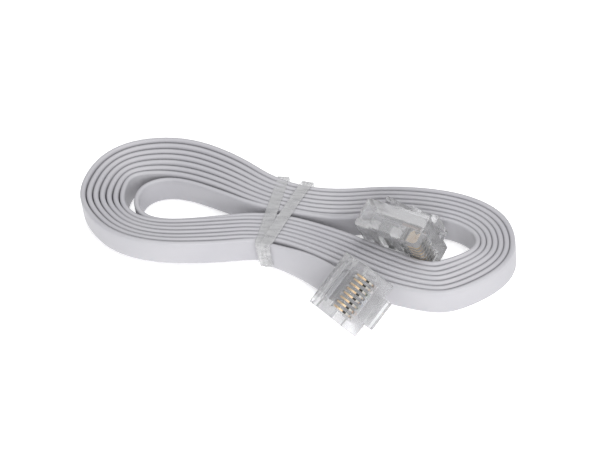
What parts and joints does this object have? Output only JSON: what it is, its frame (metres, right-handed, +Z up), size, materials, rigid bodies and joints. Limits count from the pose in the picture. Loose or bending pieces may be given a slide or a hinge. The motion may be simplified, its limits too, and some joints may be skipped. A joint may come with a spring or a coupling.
{
  "type": "ethernet patch cable",
  "caption": "Flat light-grey patch cable wound into a tied two-loop hank, with a clear latching plug on each end.",
  "frame": {"origin": "centre of the bounding box in plan, on the surface the hank lies on", "axes": "+Z up, +X along the hank from the loop without a plug to the loop that holds the rear plug, +Y away from the front plug"},
  "size_m": [0.0879, 0.0481, 0.0174],
  "materials": {
    "cable_jacket": "satin PVC",
    "clear_plastic": "clear polycarbonate",
    "clear_latch": "clear polycarbonate",
    "clear_bar": "clear polycarbonate",
    "gold_contact": "gold plated",
    "tie_film": "clear film",
    "wire_orange_white": "insulation",
    "wire_orange": "insulation",
    "wire_green_white": "insulation",
    "wire_blue": "insulation",
    "wire_blue_white": "insulation",
    "wire_green": "insulation",
    "wire_brown_white": "insulation",
    "wire_brown": "insulation"
  },
  "bodies": {
    "cable": {"cable_coil": "cable_jacket", "strap_left": "tie_film", "strap_right": "tie_film", "front_lead": "cable_jacket", "front_housing": "clear_plastic", "front_jacket_bar": "clear_bar", "front_wire_bar": "clear_bar", "front_contact_1": "gold_contact", "front_contact_2": "gold_contact", "front_contact_3": "gold_contact", "front_contact_4": "gold_contact", "front_contact_5": "gold_contact", "front_contact_6": "gold_contact", "front_contact_7": "gold_contact", "front_contact_8": "gold_contact", "front_wire_1": "wire_orange_white", "front_wire_2": "wire_orange", "front_wire_3": "wire_green_white", "front_wire_4": "wire_blue", "front_wire_5": "wire_blue_white", "front_wire_6": "wire_green", "front_wire_7": "wire_brown_white", "front_wire_8": "wire_brown", "rear_lead": "cable_jacket", "rear_housing": "clear_plastic", "rear_jacket_bar": "clear_bar", "rear_wire_bar": "clear_bar", "rear_contact_1": "gold_contact", "rear_contact_2": "gold_contact", "rear_contact_3": "gold_contact", "rear_contact_4": "gold_contact", "rear_contact_5": "gold_contact", "rear_contact_6": "gold_contact", "rear_contact_7": "gold_contact", "rear_contact_8": "gold_contact", "rear_wire_1": "wire_orange_white", "rear_wire_2": "wire_orange", "rear_wire_3": "wire_green_white", "rear_wire_4": "wire_blue", "rear_wire_5": "wire_blue_white", "rear_wire_6": "wire_green", "rear_wire_7": "wire_brown_white", "rear_wire_8": "wire_brown"},
    "front_latch": {"front_lever": "clear_latch"},
    "rear_latch": {"rear_lever": "clear_latch"}
  },
  "joints": [
    {"name": "front_latch_press", "type": "hinge", "parent": "cable", "child": "front_latch", "pos_m": [0.02175, -0.01889, 0.00844], "axis": [0.5126, 0.709, 0.4843], "range_deg": [0, 11], "stiffness_Nm_per_rad": 0.2},
    {"name": "rear_latch_press", "type": "hinge", "parent": "cable", "child": "rear_latch", "pos_m": [0.0281, 0.00481, 0.0089], "axis": [-0.1832, -0.2526, 0.9501], "range_deg": [0, 11], "stiffness_Nm_per_rad": 0.2}
  ]
}
